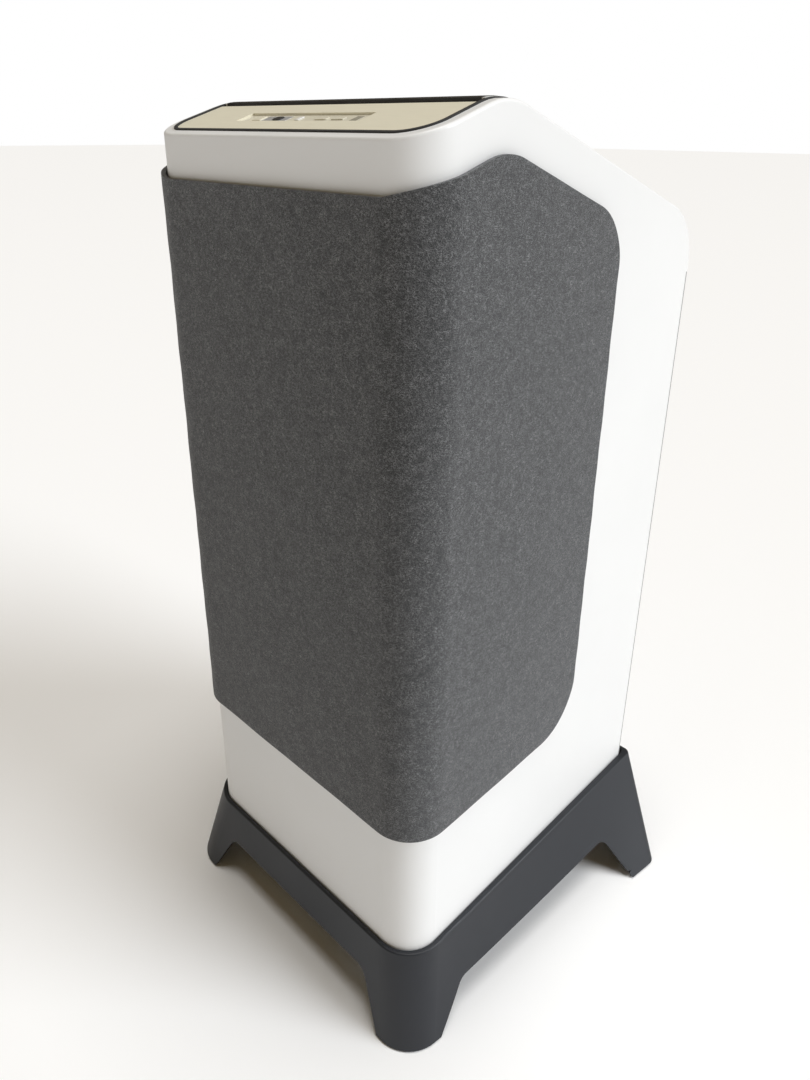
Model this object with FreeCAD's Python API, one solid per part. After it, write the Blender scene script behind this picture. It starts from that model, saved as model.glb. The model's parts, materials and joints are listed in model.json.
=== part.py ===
"""Floor-standing office air purifier with a felt acoustic cover, on a splayed four-legged stand.

Millimetres, +Z up, front towards -Y. The origin is on the floor below the middle of the casing.
"""
import FreeCAD, Part
import math
import os
from FreeCAD import Vector

# ---- driving dimensions -------------------------------------------------------------------
# casing
WIDTH = 500.0
DEPTH = 606.0
SHEET = 2.0
BODY_BOTTOM = 112.0
FRONT_TOP = 1287.0
FRONT_SLOPE = 0.333
REAR_CORNER_TOP = 1176.0
REAR_SLOPE = 0.331
CORNER_RADIUS = 56.0
PEAK_RADIUS = 97.0
REAR_TOP_RADIUS = 100.0
EDGE_ROUND = 4.0
ROOF_RIM = 14.0
RETURN_FLANGE = 20.0

# felt cover
FELT_THICKNESS = 6.0
FELT_GAP = 3.0
FELT_FRONT_TOP = 1232.5
FELT_PEAK = (-176.0, 1277.0)
FELT_REAR = (74.5, 1190.0)
FELT_BOTTOM = 381.0
FELT_PEAK_RADIUS = 85.0
FELT_CORNER_RADIUS = 88.0

# stand
RIM_TOP = 154.5
RIM_OVERHANG = 8.0
RIM_REAR = 324.0
RIM_REAR_HALF = 262.0
RIM_REAR_RADIUS = 14.0
RIM_REAR_WALL = 9.0
RIM_CLEARANCE = 1.5
RIM_ROUND = 3.0
FOOT_FRONT = -341.0
FOOT_REAR = 264.0
FOOT_FRONT_HALF = 282.0
FOOT_REAR_HALF = 373.0
FOOT_REAR_RADIUS = 22.0
STAND_WALL = 6.0
PAD_HEIGHT = 3.0
PAD_RADIUS = 9.0
LEDGE_THICKNESS = 6.0
FOOT_PLATE_TOP = 14.0
ARCH_RADIUS = 24.0
# inner ends of the legs on the floor: across, along
FRONT_LEG_END = (220.0, -275.5)
REAR_LEG_END = (292.0, 191.0)
# top corners of the arches: across or along, height
FRONT_ARCH_TOP = (172.0, 91.0)
REAR_ARCH_TOP = (225.0, 92.0)
SIDE_ARCH_TOPS = ((-215.0, 68.0), (161.0, 80.0))
STAND_BOLT = (205.0, 262.0)

# roof fittings
PANEL_GAP = 5.0
PANEL_REAR = -195.0
PANEL_DEPTH = 0.4
PANEL_THICKNESS = 5.0
CARRIER_THICKNESS = 3.0
OPENING_REAR = 62.0
SEAL_WIDTH = 4.5
SEAL_PROUD = 1.5
GRILLE_FRONT = -189.0
GRILLE_HALF = 227.0
GRILLE_PROUD = 2.5
GRILLE_UNDERSIDE = 9.0
GRILLE_COLUMNS = 6
LOUVRE_PITCH = 13.0
LOUVRE_SLOT = 8.0

# control strip, across from the middle and along the slope from the front edge
INSET_X = (-118.0, 109.0)
INSET_ALONG = (53.5, 82.0)
INSET_DEPTH = 3.0
WINDOW_ALONG = (58.5, 76.5)
WINDOWS = {
    "status_bar": (-104.0, -99.0),
    "display_window": (-77.0, -30.0),
    "light_sensor": (84.0, 95.0),
}
KEY_ALONG = 67.5
# each key: name, centre across, width, height, corner radius
KEYS = [
    ("power_key", -88.0, 17.0, 14.0, 1.5),
    ("mode_key", -50.0, 16.0, 13.0, 6.4),
    ("timer_key", -9.0, 7.0, 12.0, 1.5),
    ("speed_down_key", 32.0, 20.0, 8.0, 1.5),
    ("speed_up_key", 61.0, 20.0, 8.0, 1.5),
]
KEY_CLEARANCE = 0.35
KEY_PROUD = 1.2
STEM_RADIUS = 2.5

# rear
REAR_OPENING_TOP = 1098.0
DOOR_BOTTOM = 215.0
DOOR_GAP = 0.5
DOOR_SKIN = 2.0
DOOR_DEPTH = 3.5

# air path
BULKHEAD_Z = 800.0
FAN_Y = -60.0
FAN_RADIUS = 150.0
INLET_RADIUS = 100.0
BLADES = 7
FILTER_Z = (196.0, 790.0)
FILTER_HALF = 232.0
HUB_RADIUS = 30.0
SHAFT_RADIUS = 6.0
FAN_LOW = BULKHEAD_Z + 20
FAN_HIGH = FAN_LOW + 95
MOTOR_RADIUS = 62.0
MOTOR_LOW = FAN_HIGH + 14
MOTOR_HIGH = MOTOR_LOW + 70

# door hinges, handle and mains switch
KNUCKLE_RADIUS = 5.0
PIN_RADIUS = 2.0
HINGE_ROWS = (330.0, 655.0, 980.0)
HANDLE_X = 206.0
HANDLE_ROWS = (590.0, 720.0)
HANDLE_REACH = 38.0
HANDLE_RADIUS = 4.5
ROCKER_TILT = 7.0

FRONT = -DEPTH / 2
REAR = DEPTH / 2
HALF = WIDTH / 2
FRAME_BACK = REAR - DOOR_DEPTH - DOOR_GAP
FRAME_FRONT = FRAME_BACK - 3.0
SLOPE_ANGLE = math.degrees(math.atan(FRONT_SLOPE))
HINGE_AXIS = (3.0 - HALF, REAR + 6.0)
ROCKER_AXIS = (FRAME_BACK - 3.0, 180.0)
PANEL_UNDERSIDE = PANEL_DEPTH + PANEL_THICKNESS
CARRIER_BOTTOM = PANEL_UNDERSIDE + CARRIER_THICKNESS
STEM_BOTTOM = CARRIER_BOTTOM + 3.0
BOARD_TOP = STEM_BOTTOM + 5.0
GRILLE_REAR = OPENING_REAR - SEAL_WIDTH - 1.5

os.makedirs("parts", exist_ok=True)


# ---- helpers ------------------------------------------------------------------------------
def box(x0, x1, y0, y1, z0, z1):
    """Box between two corners."""
    return Part.makeBox(x1 - x0, y1 - y0, z1 - z0, Vector(x0, y0, z0))


def rod(radius, start, end):
    """Cylinder between two points."""
    axis = Vector(*end) - Vector(*start)
    return Part.makeCylinder(radius, axis.Length, Vector(*start), axis)


def tube(outer, inner, start, end):
    """Hollow cylinder between two points."""
    return rod(outer, start, end).cut(rod(inner, start, end))


def on_plan(z=0.0):
    """Place an outline's u, v on a level plane."""
    return lambda p: Vector(p.x, p.y, z)


def on_side(x=0.0):
    """Place an outline's u, v on an upright plane across X."""
    return lambda p: Vector(x, p.x, p.y)


def on_front(y=0.0):
    """Place an outline's u, v on an upright plane across Y."""
    return lambda p: Vector(p.x, y, p.y)


def outline(corners, place):
    """Closed wire through (u, v, radius) corners, each rounded by a tangent arc."""
    points = [Vector(u, v, 0) for u, v, _ in corners]
    count = len(points)
    starts, middles, ends = [], [], []
    for i, (_, _, radius) in enumerate(corners):
        corner = points[i]
        back = (points[i - 1] - corner).normalize()
        onward = (points[(i + 1) % count] - corner).normalize()
        half = back.getAngle(onward) / 2
        bisector = (back + onward).normalize()
        starts.append(corner + back * (radius / math.tan(half)))
        ends.append(corner + onward * (radius / math.tan(half)))
        middles.append(corner + bisector * (radius / math.sin(half) - radius))
    edges = []
    for i, (_, _, radius) in enumerate(corners):
        if radius > 0:
            arc = Part.Arc(place(starts[i]), place(middles[i]), place(ends[i]))
            edges.append(arc.toShape())
        edges.append(Part.makeLine(place(ends[i]), place(starts[(i + 1) % count])))
    return Part.Wire(edges)


def prism(wire, along):
    """Solid swept from a flat closed wire."""
    return Part.Face(wire).extrude(Vector(*along))


def rectangle(u0, u1, v0, v1, radius):
    """Corners of a rectangle with one corner radius."""
    return [(u0, v0, radius), (u1, v0, radius), (u1, v1, radius), (u0, v1, radius)]


def mirrored(shape):
    """The shape's twin on the other side of the middle plane."""
    return shape.mirror(Vector(0, 0, 0), Vector(1, 0, 0))


def group(shapes):
    """Separate solids kept in one node."""
    return Part.makeCompound(shapes)


def save(name, shape):
    """Write one node."""
    shape.exportStep("parts/" + name + ".step")


# ---- casing geometry ----------------------------------------------------------------------
def side_profile(inset, bottom, reach=0.0):
    """Corners of the casing's side outline, moved inwards by inset; reach lengthens both slopes."""
    front_drop = inset * math.hypot(1, FRONT_SLOPE)
    rear_drop = inset * math.hypot(1, REAR_SLOPE)
    front_at_zero = FRONT_TOP - FRONT_SLOPE * FRONT - front_drop
    rear_at_zero = REAR_CORNER_TOP + REAR_SLOPE * REAR - rear_drop
    front, rear = FRONT + inset - reach, REAR - inset + reach
    peak = (rear_at_zero - front_at_zero) / (FRONT_SLOPE + REAR_SLOPE)
    return [
        (front, bottom, 0),
        (front, front_at_zero + FRONT_SLOPE * front, 0),
        (peak, front_at_zero + FRONT_SLOPE * peak, PEAK_RADIUS - inset),
        (rear, rear_at_zero - REAR_SLOPE * rear, REAR_TOP_RADIUS - inset),
        (rear, bottom, 0),
    ]


def plan_corners(offset, front, rear, rear_radius):
    """Corners of a plan outline with the casing's large front radius."""
    side, radius = HALF + offset, CORNER_RADIUS + offset
    return [(-side, front, radius), (side, front, radius),
            (side, rear, rear_radius), (-side, rear, rear_radius)]


def body_block(inset, bottom, edge_round=0.0):
    """Solid of the casing's outer shape, moved inwards by inset."""
    plan = outline(plan_corners(-inset, FRONT + inset, REAR - inset, 0), on_plan(bottom))
    column = prism(plan, (0, 0, 1400 - bottom))
    side = outline(side_profile(inset, bottom), on_side(-HALF - 50))
    block = column.common(prism(side, (WIDTH + 100, 0, 0)))
    if edge_round:
        rims = [e for e in block.Edges if is_roof_rim(e)]
        block = block.makeFillet(edge_round, rims)
    return block


def is_roof_rim(edge):
    """True for the edges round the roof and down the two rear corners."""
    middle = edge.valueAt((edge.FirstParameter + edge.LastParameter) / 2)
    extent = edge.BoundBox
    at_side = abs(middle.x) > HALF - CORNER_RADIUS
    if extent.ZLength > 500:
        return at_side and middle.y > REAR - 1
    level = extent.XLength > 1 or extent.YLength > 1
    return middle.z > BODY_BOTTOM + 1 and level and (at_side or middle.y < FRONT + 1)


def roof_band(upper, lower):
    """Layer under the roof between two depths."""
    top = prism(outline(side_profile(upper, 600), on_side(-HALF)), (WIDTH, 0, 0))
    below = prism(outline(side_profile(lower, 500, 60), on_side(-HALF - 10)), (WIDTH + 20, 0, 0))
    return top.cut(below)


def roof_opening(margin=0.0, rear=OPENING_REAR):
    """Column through the roof opening, grown by margin."""
    side = HALF - ROOF_RIM + margin
    front = FRONT + ROOF_RIM * math.cos(math.radians(SLOPE_ANGLE)) - margin
    front_radius = CORNER_RADIUS - ROOF_RIM + margin
    corners = [(-side, front, front_radius), (side, front, front_radius),
               (side, rear + margin, 8), (-side, rear + margin, 8)]
    return prism(outline(corners, on_plan(1000)), (0, 0, 400))


def lay_on_slope(shape):
    """Turn a shape modelled flat, with Y from the front edge, onto the front roof slope."""
    shape.rotate(Vector(0, 0, 0), Vector(1, 0, 0), SLOPE_ANGLE)
    shape.translate(Vector(0, FRONT, FRONT_TOP))
    return shape


# ---- casing and rear frame ----------------------------------------------------------------
def make_casing():
    """Sheet-metal shell, open below and behind, with a return flange down each rear edge."""
    outer = body_block(0.0, BODY_BOTTOM, EDGE_ROUND)
    shell = outer.cut(body_block(SHEET, BODY_BOTTOM - 10))
    shell = shell.cut(roof_opening())
    rear_cut = box(-HALF - 1, HALF + 1, FRAME_FRONT, REAR + 1, BODY_BOTTOM - 1, REAR_OPENING_TOP)
    shell = shell.cut(rear_cut)
    flange = box(HALF - SHEET - RETURN_FLANGE, HALF - SHEET / 2, FRAME_FRONT - SHEET, FRAME_FRONT,
                 BODY_BOTTOM + 4, REAR_OPENING_TOP - 4)
    return shell.fuse([flange, mirrored(flange)])


def rear_screw_places():
    """Screw centres on the rear frame's two side strips."""
    rows = [150 + i * 230 for i in range(5)]
    return [(side * (HALF - 12), z) for side in (-1, 1) for z in rows]


def make_rear_frame():
    """Plate that closes the back round the filter opening."""
    plate = box(-HALF, HALF, FRAME_FRONT, FRAME_BACK, BODY_BOTTOM, REAR_OPENING_TOP)
    window = outline(rectangle(-HALF + 25, HALF - 25, DOOR_BOTTOM + 15, REAR_OPENING_TOP - 18, 12),
                     on_front(FRAME_FRONT - 1))
    plate = plate.cut(prism(window, (0, 10, 0)))
    plate = plate.cut(box(136, 164, 290, 310, 170, 190))
    plate = plate.cut(box(84, 106, 290, 310, 172, 188))
    for x, z in rear_screw_places():
        plate = plate.cut(rod(2.05, (x, FRAME_FRONT - 1, z), (x, FRAME_BACK + 1, z)))
        plate = plate.cut(rod(4.05, (x, FRAME_BACK - 1.6, z), (x, FRAME_BACK + 1, z)))
    return plate


def make_frame_screws():
    """Countersunk socket screws down both side strips."""
    screws = []
    for x, z in rear_screw_places():
        head = rod(4.0, (x, FRAME_BACK - 1.6, z), (x, FRAME_BACK, z))
        socket = rod(1.6, (x, FRAME_BACK - 0.9, z), (x, FRAME_BACK + 1, z))
        shank = rod(2.0, (x, FRAME_FRONT, z), (x, FRAME_BACK - 1.6, z))
        screws.append(head.cut(socket).fuse(shank))
    return group(screws)


def make_chassis_floor():
    """Floor plate inside the casing, bolted to the stand."""
    corners = plan_corners(-SHEET - 0.5, FRONT + SHEET + 0.5, FRAME_FRONT - 0.5, 0)
    plate = prism(outline(corners, on_plan(BODY_BOTTOM)), (0, 0, 3))
    for x, y in stand_bolt_places():
        plate = plate.cut(rod(4.05, (x, y, BODY_BOTTOM - 1), (x, y, BODY_BOTTOM + 5)))
    return plate


# ---- felt cover ---------------------------------------------------------------------------
def make_felt_cover():
    """Felt board round the front and both sides, cut to the roof's slope."""
    outer = FELT_GAP + FELT_THICKNESS
    front, rear = FRONT - outer, FELT_REAR[0]
    skin = prism(outline(plan_corners(outer, front, rear + 100, 1), on_plan(FELT_BOTTOM)),
                 (0, 0, 1000))
    hollow = prism(outline(plan_corners(FELT_GAP, FRONT - FELT_GAP, rear + 200, 1),
                           on_plan(FELT_BOTTOM - 10)), (0, 0, 1100))
    side = outline([
        (front, FELT_BOTTOM, 0),
        (front, FELT_FRONT_TOP, 0),
        (FELT_PEAK[0], FELT_PEAK[1], FELT_PEAK_RADIUS),
        (rear, FELT_REAR[1], FELT_CORNER_RADIUS),
        (rear, FELT_BOTTOM, FELT_CORNER_RADIUS)], on_side(-HALF - 50))
    return skin.cut(hollow).common(prism(side, (WIDTH + 100, 0, 0)))


def make_felt_spacers():
    """Round hook-and-loop pads between the casing and the felt."""
    pads = []
    for z in (440, 700, 960, 1190):
        for x in (-170, 0, 170):
            pads.append(rod(18, (x, FRONT, z), (x, FRONT - FELT_GAP, z)))
    for side in (-1, 1):
        for z in (500, 800, 1100):
            for y in (-150, 20):
                start = (side * HALF, y, z)
                pads.append(rod(18, start, (side * (HALF + FELT_GAP), y, z)))
    return group(pads)


# ---- stand --------------------------------------------------------------------------------
def stand_outline(height, inset):
    """Closed wire of the stand's outer face at a height, moved inwards by inset."""
    down = (RIM_TOP - height) / (RIM_TOP - PAD_HEIGHT)
    rim_half = HALF + RIM_OVERHANG
    rim_front = FRONT - RIM_OVERHANG
    front_half = rim_half + down * (FOOT_FRONT_HALF - rim_half) - inset
    rear_half = RIM_REAR_HALF + down * (FOOT_REAR_HALF - RIM_REAR_HALF) - inset
    front = rim_front + down * (FOOT_FRONT - rim_front) + inset
    rear = RIM_REAR + down * (FOOT_REAR - RIM_REAR) - inset
    front_radius = CORNER_RADIUS + RIM_OVERHANG - inset
    rear_radius = RIM_REAR_RADIUS + down * (FOOT_REAR_RADIUS - RIM_REAR_RADIUS) - inset
    corners = [(-front_half, front, front_radius), (front_half, front, front_radius),
               (rear_half, rear, rear_radius), (-rear_half, rear, rear_radius)]
    return outline(corners, on_plan(height))


def stand_block(inset, low, high):
    """Splayed block between two heights."""
    return Part.makeLoft([stand_outline(low, inset), stand_outline(high, inset)], True, True)


def arch(left_foot, right_foot, left_top, right_top):
    """Corners of a cut-out between two legs, open at the floor; each top is a place and a height."""
    below = 40.0
    left_low = left_foot + (left_foot - left_top[0]) / left_top[1] * below
    right_low = right_foot + (right_foot - right_top[0]) / right_top[1] * below
    return [(left_low, -below, 0), (right_low, -below, 0),
            (*right_top, ARCH_RADIUS), (*left_top, ARCH_RADIUS)]


def even_arch(foot, top):
    """Cut-out across the middle plane, the same on both sides."""
    return outline(arch(-foot, foot, (-top[0], top[1]), top), on_front(0))


def foot_wedge(leg_end, wall):
    """Inner corner of a foot's plate, cut away to a diagonal between its two walls."""
    inner_x = leg_end[0] - 15
    inner_y = leg_end[1] - math.copysign(15, leg_end[1])
    corners = [(wall[0], inner_y, 0), (wall[0], leg_end[1], 0), (leg_end[0], wall[1], 0),
               (inner_x, wall[1], 0), (inner_x, inner_y, 0)]
    return prism(outline(corners, on_plan(0)), (0, 0, FOOT_PLATE_TOP + 0.5))


def stand_bolt_places():
    """Centres of the bolts that hold the body on the stand's ledge."""
    across, along = STAND_BOLT
    return [(x, y) for x in (-across, across) for y in (-along, along)]


def rounded_stand_block():
    """The stand's full outer shape with its upper outer edge rounded."""
    block = stand_block(0, PAD_HEIGHT, RIM_TOP)
    rim = [e for e in block.Edges if min(v.Z for v in e.Vertexes) > RIM_TOP - 0.01]
    return block.makeFillet(RIM_ROUND, rim)


def make_stand():
    """Splayed stand: a rim round the body, a ledge under it and four hollow legs."""
    stand = rounded_stand_block()
    pocket = plan_corners(RIM_CLEARANCE, FRONT - RIM_CLEARANCE, RIM_REAR - RIM_REAR_WALL, 8)
    stand = stand.cut(prism(outline(pocket, on_plan(BODY_BOTTOM)), (0, 0, 60)))
    ledge_bottom = BODY_BOTTOM - LEDGE_THICKNESS
    stand = stand.cut(stand_block(STAND_WALL, FOOT_PLATE_TOP, ledge_bottom))
    window = outline(rectangle(-180, 180, -235, 235, 20), on_plan(ledge_bottom - 1))
    stand = stand.cut(prism(window, (0, 0, 20)))
    stand = stand.cut(prism(even_arch(FRONT_LEG_END[0], FRONT_ARCH_TOP), (0, -500, 0)))
    stand = stand.cut(prism(even_arch(REAR_LEG_END[0], REAR_ARCH_TOP), (0, 500, 0)))
    side_arch = outline(arch(FRONT_LEG_END[1], REAR_LEG_END[1], *SIDE_ARCH_TOPS), on_side(-500))
    stand = stand.cut(prism(side_arch, (1000, 0, 0)))
    front_wall = (FOOT_FRONT_HALF - STAND_WALL - 2, FOOT_FRONT + STAND_WALL + 1)
    rear_wall = (FOOT_REAR_HALF - STAND_WALL - 12, FOOT_REAR - STAND_WALL - 1)
    for leg_end, wall in ((FRONT_LEG_END, front_wall), (REAR_LEG_END, rear_wall)):
        wedge = foot_wedge(leg_end, wall)
        stand = stand.cut([wedge, mirrored(wedge)])
    for x, y in stand_bolt_places():
        stand = stand.cut(rod(4.05, (x, y, ledge_bottom - 1), (x, y, BODY_BOTTOM + 1)))
    return stand


def make_foot_pads():
    """Rubber pads under the four feet."""
    pads = []
    for x, y in ((253.5, -312.5), (342.0, 236.0)):
        pad = rod(PAD_RADIUS, (x, y, 0), (x, y, PAD_HEIGHT))
        pads += [pad, mirrored(pad)]
    return group(pads)


def make_stand_bolts():
    """Bolts up through the ledge into the chassis floor."""
    bolts = []
    ledge_bottom = BODY_BOTTOM - LEDGE_THICKNESS
    for x, y in stand_bolt_places():
        head = Part.makeCylinder(6.5, 5, Vector(x, y, ledge_bottom - 5))
        shank = Part.makeCylinder(4.0, 20, Vector(x, y, ledge_bottom - 1))
        bolts.append(head.fuse(shank))
    return group(bolts)


# ---- roof fittings ------------------------------------------------------------------------
def inset_box(grow, top, bottom):
    """Box through the control inset, in the slope's own frame."""
    return box(INSET_X[0] - grow, INSET_X[1] + grow, INSET_ALONG[0] - grow, INSET_ALONG[1] + grow,
               -bottom, -top)


def panel_column():
    """Column with the top panel's outline."""
    side = HALF - ROOF_RIM - PANEL_GAP
    front = FRONT + (ROOF_RIM + PANEL_GAP) * math.cos(math.radians(SLOPE_ANGLE))
    radius = CORNER_RADIUS - ROOF_RIM - PANEL_GAP
    corners = [(-side, front, radius), (side, front, radius),
               (side, PANEL_REAR, 2), (-side, PANEL_REAR, 2)]
    return prism(outline(corners, on_plan(1000)), (0, 0, 400))


def make_top_panel():
    """Sloping panel with a window for the control strip."""
    panel = panel_column().common(roof_band(PANEL_DEPTH, PANEL_UNDERSIDE))
    return panel.cut(lay_on_slope(inset_box(0, -5, PANEL_THICKNESS + 2)))


def make_roof_seal():
    """Soft edging round the roof opening, a little proud of the casing."""
    ring = roof_opening(-0.1).cut(roof_opening(-SEAL_WIDTH))
    return ring.common(roof_band(-SEAL_PROUD, PANEL_UNDERSIDE))


def key_block(key, grow, top, bottom):
    """Rounded block of one key between two depths, in the slope's own frame."""
    _, across, width, height, radius = key
    corners = rectangle(across - width / 2 - grow, across + width / 2 + grow,
                        KEY_ALONG - height / 2 - grow, KEY_ALONG + height / 2 + grow, radius)
    return prism(outline(corners, on_plan(-bottom)), (0, 0, bottom - top))


def make_key(key):
    """Key cap with a retaining flange and the stem that works its switch."""
    cap = key_block(key, 0, INSET_DEPTH - KEY_PROUD, CARRIER_BOTTOM + 0.4)
    crown = max(cap.Faces, key=lambda face: face.CenterOfMass.z)
    cap = cap.makeFillet(0.4, crown.Edges)
    flange = key_block(key, 1.2, CARRIER_BOTTOM + 0.4, CARRIER_BOTTOM + 1.4)
    stem = Part.makeCylinder(STEM_RADIUS, STEM_BOTTOM - CARRIER_BOTTOM - 1.4,
                             Vector(key[1], KEY_ALONG, -STEM_BOTTOM))
    return lay_on_slope(cap.fuse([flange, stem]))


def cut_key_holes(shape):
    """The shape with running room for every key."""
    for key in KEYS:
        shape = shape.cut(lay_on_slope(key_block(key, KEY_CLEARANCE, -5, CARRIER_BOTTOM + 2)))
    return shape


def make_carrier():
    """Dark carrier under the top panel, with a lip below the casing's rim."""
    carrier = roof_opening(8, GRILLE_FRONT - 9).common(roof_band(SHEET, CARRIER_BOTTOM))
    pocket = roof_opening().common(roof_band(-1, PANEL_UNDERSIDE))
    return cut_key_holes(carrier.cut(pocket))


def window_block(name, grow, top):
    """Block of one window in the control tray, in the slope's own frame."""
    left, right = WINDOWS[name]
    low, high = WINDOW_ALONG
    return box(left - grow, right + grow, low - grow, high + grow, -INSET_DEPTH - 1.2, -top)


def make_window(name):
    """Window let into the control tray and standing slightly proud of it."""
    return cut_key_holes(lay_on_slope(window_block(name, 0, INSET_DEPTH - 0.3)))


def make_control_tray():
    """Sunken tray that frames the keys and windows."""
    tray = cut_key_holes(lay_on_slope(inset_box(-0.2, INSET_DEPTH, PANEL_UNDERSIDE)))
    return tray.cut([lay_on_slope(window_block(name, 0.1, -5)) for name in WINDOWS])


def make_control_board():
    """Circuit board under the keys with its processor."""
    board = box(-125, 115, 45, 88, -BOARD_TOP - 1.6, -BOARD_TOP)
    processor = box(-30, -16, 78, 86, -BOARD_TOP, -BOARD_TOP + 1.5)
    return lay_on_slope(board.fuse(processor))


def make_key_switches():
    """Push switches that the key stems press."""
    switches = []
    for _, across, _, _, _ in KEYS:
        body = box(across - 3, across + 3, KEY_ALONG - 3, KEY_ALONG + 3, -BOARD_TOP, -BOARD_TOP + 3)
        nub = Part.makeCylinder(1.7, 0.9, Vector(across, KEY_ALONG, -BOARD_TOP + 3))
        switches.append(lay_on_slope(body.fuse(nub)))
    return group(switches)


def make_board_posts():
    """Posts that hang the board from the carrier."""
    length = BOARD_TOP - CARRIER_BOTTOM
    places = [(across, along) for across in (-118, 108) for along in (50, 83)]
    posts = [Part.makeCylinder(3, length, Vector(*place, -BOARD_TOP)) for place in places]
    return group([lay_on_slope(post) for post in posts])


def make_outlet_grille():
    """Louvred outlet across the peak of the roof, standing proud of the casing."""
    plan = box(-GRILLE_HALF, GRILLE_HALF, GRILLE_FRONT, GRILLE_REAR, 1000, 1400)
    grille = plan.common(roof_band(-GRILLE_PROUD, GRILLE_UNDERSIDE))
    border, bar = 4.0, 2.0
    column = (2 * GRILLE_HALF - 2 * border) / GRILLE_COLUMNS
    slots = []
    y = GRILLE_FRONT + 6
    while y + LOUVRE_SLOT < GRILLE_REAR - border:
        for i in range(GRILLE_COLUMNS):
            x = -GRILLE_HALF + border + i * column
            slots.append(box(x + bar, x + column - bar, y, y + LOUVRE_SLOT, 1150, 1400))
        y += LOUVRE_PITCH
    return grille.cut(group(slots))


def make_outlet_end_caps():
    """White pieces that close the outlet at both ends."""
    cap = box(GRILLE_HALF + 0.5, HALF - ROOF_RIM, GRILLE_FRONT, GRILLE_REAR, 1000, 1400)
    cap = cap.common(roof_band(0.5 - GRILLE_PROUD, GRILLE_UNDERSIDE))
    cap = cap.common(roof_opening(-SEAL_WIDTH - 0.2))
    return group([cap, mirrored(cap)])


# ---- air path -----------------------------------------------------------------------------
def make_bulkhead():
    """Plate between the filter space and the fan, with a round hole under the fan."""
    plate = box(-HALF + 3, HALF - 3, FRONT + 60, FRAME_FRONT - 3, BULKHEAD_Z, BULKHEAD_Z + 2)
    return plate.cut(rod(INLET_RADIUS + 6, (0, FAN_Y, BULKHEAD_Z - 1), (0, FAN_Y, BULKHEAD_Z + 5)))


def make_inlet_ring():
    """Bell-mouthed ring that leads air into the fan."""
    low, high = BULKHEAD_Z + 2, BULKHEAD_Z + 26
    profile = Part.Wire([
        Part.makeLine(Vector(INLET_RADIUS + 25, 0, low), Vector(INLET_RADIUS + 25, 0, low + 2)),
        Part.makeLine(Vector(INLET_RADIUS + 25, 0, low + 2), Vector(INLET_RADIUS + 18, 0, low + 2)),
        Part.Arc(Vector(INLET_RADIUS + 18, 0, low + 2), Vector(INLET_RADIUS + 6.7, 0, low + 6.7),
                 Vector(INLET_RADIUS + 2, 0, high - 6)).toShape(),
        Part.makeLine(Vector(INLET_RADIUS + 2, 0, high - 6), Vector(INLET_RADIUS + 2, 0, high)),
        Part.makeLine(Vector(INLET_RADIUS + 2, 0, high), Vector(INLET_RADIUS, 0, high)),
        Part.makeLine(Vector(INLET_RADIUS, 0, high), Vector(INLET_RADIUS, 0, low)),
        Part.makeLine(Vector(INLET_RADIUS, 0, low), Vector(INLET_RADIUS + 25, 0, low)),
    ])
    ring = Part.Face(profile).revolve(Vector(0, 0, 0), Vector(0, 0, 1), 360)
    ring.translate(Vector(0, FAN_Y, 0))
    return ring


def make_impeller():
    """Backward-curved fan wheel: shroud, blades, back plate and hub."""
    centre = Vector(0, FAN_Y, 0)
    shroud = tube(FAN_RADIUS, INLET_RADIUS + 6, (0, FAN_Y, FAN_LOW), (0, FAN_Y, FAN_LOW + 2))
    back = rod(FAN_RADIUS, (0, FAN_Y, FAN_HIGH - 2), (0, FAN_Y, FAN_HIGH))
    hub = rod(HUB_RADIUS, (0, FAN_Y, FAN_HIGH - 25), (0, FAN_Y, FAN_HIGH + 4))
    pieces = [back, hub]
    for i in range(BLADES):
        outer = tube(110, 107.5, (0, 0, FAN_LOW + 1), (0, 0, FAN_HIGH - 1))
        outer.translate(Vector(75, 75, 0) + centre)
        ring = tube(FAN_RADIUS - 1, 72, (0, FAN_Y, FAN_LOW + 1), (0, FAN_Y, FAN_HIGH - 1))
        sector = box(-FAN_RADIUS, 0, FAN_Y - 5, FAN_Y + FAN_RADIUS, FAN_LOW, FAN_HIGH)
        blade = outer.common(ring).common(sector)
        blade.rotate(centre, Vector(0, 0, 1), 360 / BLADES * i)
        pieces.append(blade)
    wheel = shroud.fuse(pieces)
    wheel = wheel.cut(rod(INLET_RADIUS + 6, (0, FAN_Y, FAN_LOW - 1), (0, FAN_Y, FAN_LOW + 8)))
    return wheel.cut(rod(SHAFT_RADIUS, (0, FAN_Y, FAN_LOW), (0, FAN_Y, FAN_HIGH + 10)))


def make_fan_shaft():
    """Shaft from the hub up into the motor."""
    return rod(SHAFT_RADIUS, (0, FAN_Y, FAN_HIGH - 28), (0, FAN_Y, MOTOR_HIGH - 8))


def make_motor():
    """Motor can with upright vents."""
    can = rod(MOTOR_RADIUS, (0, FAN_Y, MOTOR_LOW), (0, FAN_Y, MOTOR_HIGH))
    can = can.makeFillet(4, [e for e in can.Edges if e.Closed])
    for i in range(10):
        vent = box(MOTOR_RADIUS - 4, MOTOR_RADIUS + 4, -3, 3, MOTOR_LOW + 12, MOTOR_HIGH - 12)
        vent.rotate(Vector(0, 0, 0), Vector(0, 0, 1), 36 * i)
        vent.translate(Vector(0, FAN_Y, 0))
        can = can.cut(vent)
    bore = rod(SHAFT_RADIUS + 0.05, (0, FAN_Y, MOTOR_LOW - 1), (0, FAN_Y, MOTOR_HIGH - 7.5))
    return can.cut(bore)


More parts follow.
